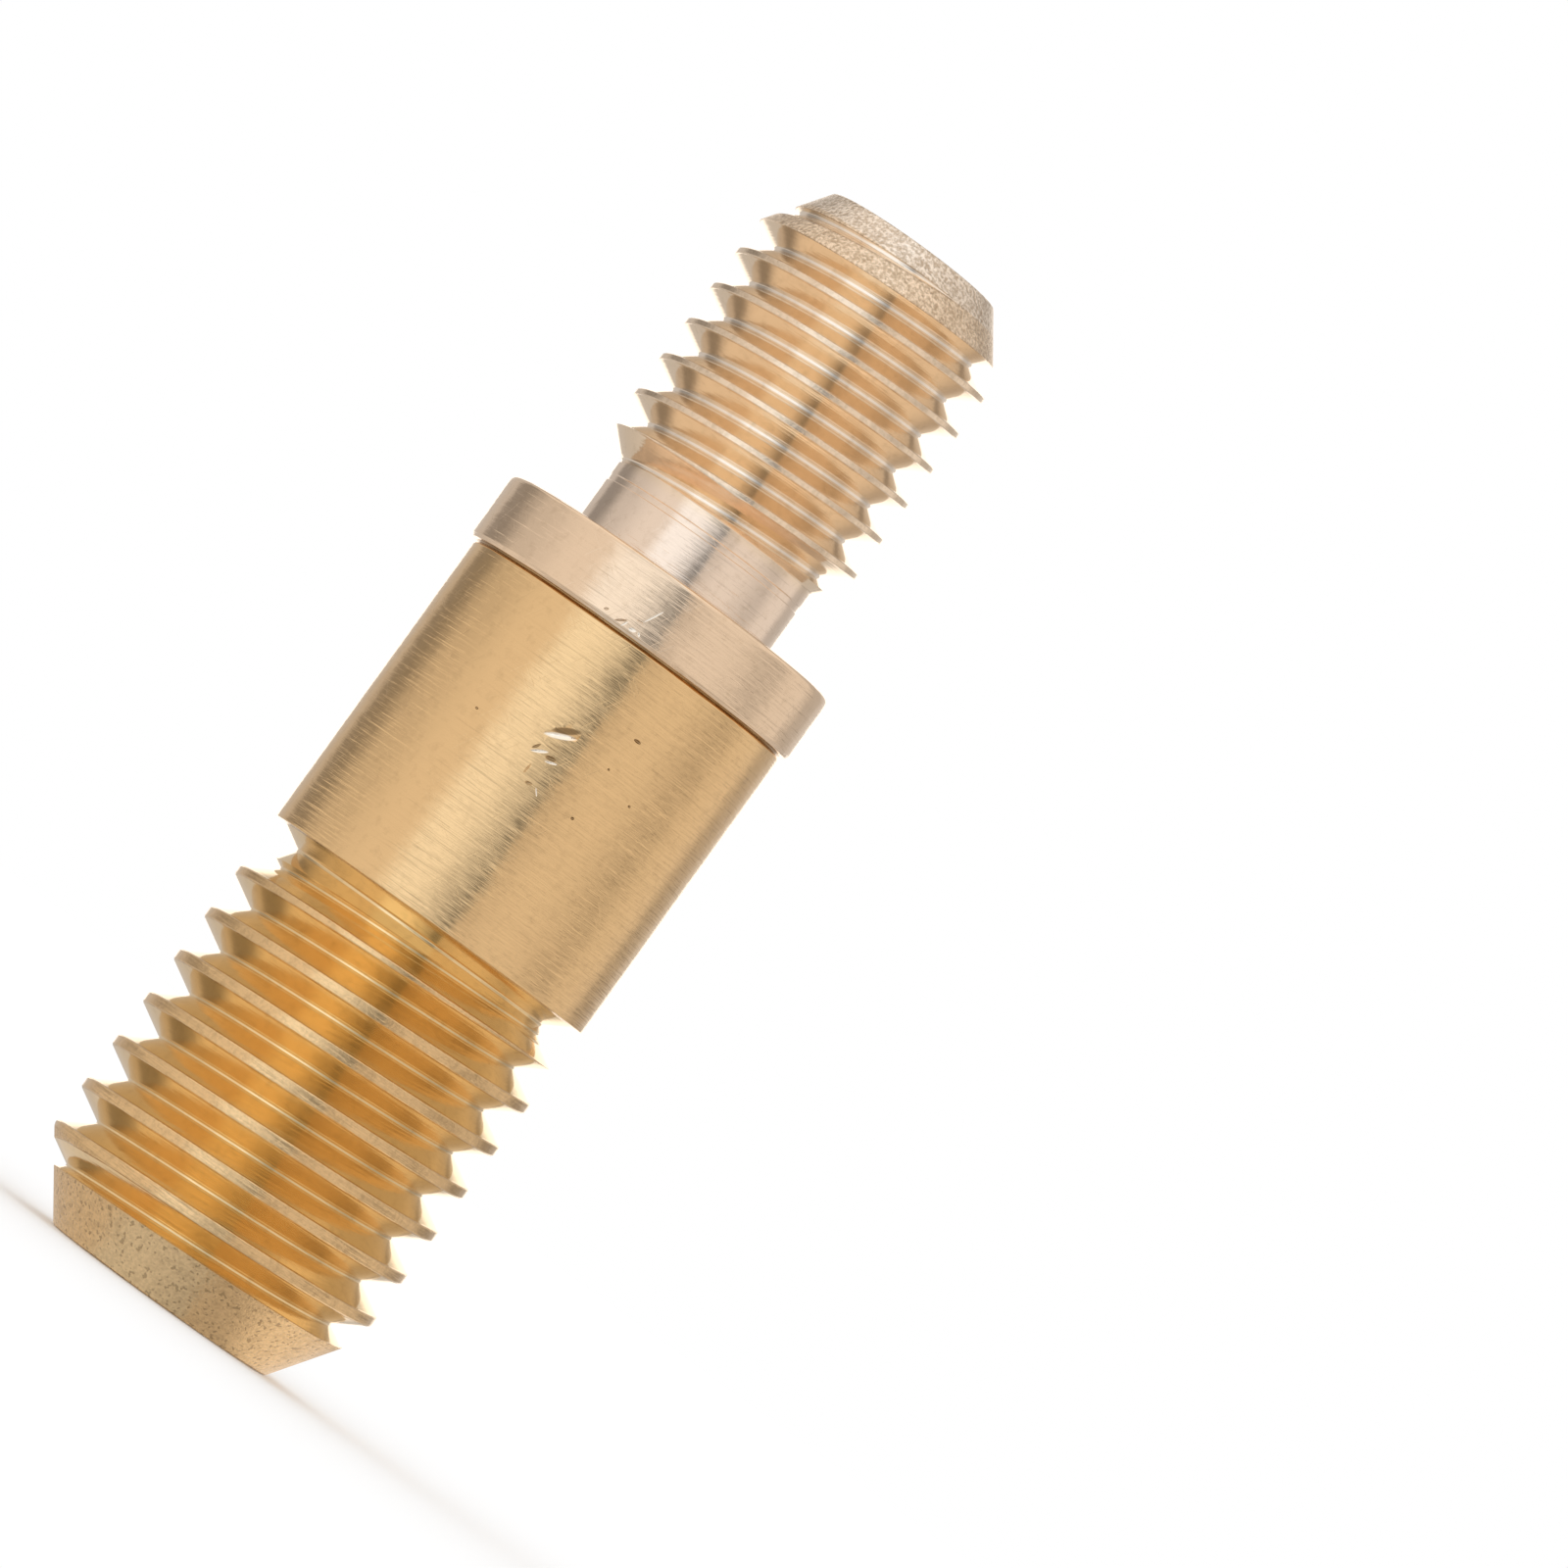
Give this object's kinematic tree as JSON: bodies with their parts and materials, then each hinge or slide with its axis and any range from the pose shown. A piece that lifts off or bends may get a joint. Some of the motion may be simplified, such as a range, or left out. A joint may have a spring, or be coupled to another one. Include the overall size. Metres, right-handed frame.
{
  "type": "cue joint screw",
  "caption": "Turned brass joint screw with a coarse butt thread, plain barrel, thin flange, neck and finer threaded stud, to join the halves of a cue.",
  "frame": {"origin": "centre of the flat butt end face", "axes": "+Z along the screw's axis, from the butt end to the stud"},
  "size_m": [0.0134, 0.0134, 0.0446],
  "materials": {
    "brass": "turned"
  },
  "bodies": {
    "root": {"joint_screw": "brass"}
  },
  "joints": []
}
